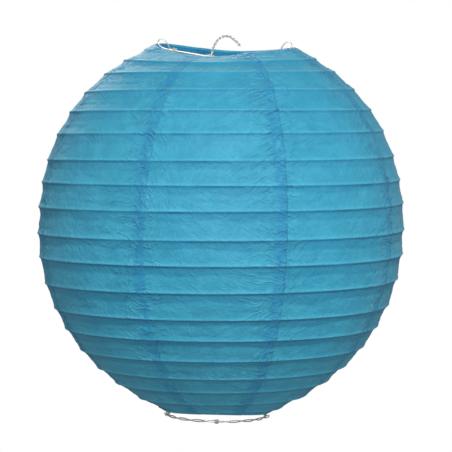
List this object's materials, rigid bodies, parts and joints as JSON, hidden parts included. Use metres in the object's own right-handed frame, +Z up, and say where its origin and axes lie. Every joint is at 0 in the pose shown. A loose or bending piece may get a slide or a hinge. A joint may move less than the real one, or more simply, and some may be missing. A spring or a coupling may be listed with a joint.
{
  "type": "paper lantern",
  "caption": "Round hanging paper lantern: lapped paper gores on a helical wire rib, held open by a wire expander with a top hook, and folding flat.",
  "frame": {"origin": "the bearing point under the top of the hook, on the lantern's vertical axis", "axes": "+Z up along the lantern's axis, +X along the expander's top bar towards its right ear, the front faces -Y"},
  "size_m": [0.3006, 0.3006, 0.3145],
  "materials": {
    "paper": "matte tissue",
    "rib_wire": "galvanised",
    "frame_wire": "galvanised"
  },
  "bodies": {
    "expander_and_shade": {"gore_1": "paper", "gore_2": "paper", "gore_3": "paper", "gore_4": "paper", "gore_5": "paper", "gore_6": "paper", "gore_7": "paper", "gore_8": "paper", "rib_wire": "rib_wire", "top_rim_wire": "rib_wire", "top_bar": "frame_wire", "hook_strand_rear": "frame_wire", "hook_strand_front": "frame_wire", "right_leg": "frame_wire", "left_leg": "frame_wire", "base_ring_strand_1": "frame_wire", "base_ring_strand_2": "frame_wire", "ring_splice": "frame_wire"},
    "shade_bottom": {"bottom_rim_wire": "rib_wire"}
  },
  "joints": [
    {"name": "shade_fold", "type": "slide", "parent": "expander_and_shade", "child": "shade_bottom", "axis": [0, 0, 1], "range_m": [0, 0.258], "deforming": ["gore_1", "gore_2", "gore_3", "gore_4", "gore_5", "gore_6", "gore_7", "gore_8", "rib_wire"]}
  ]
}
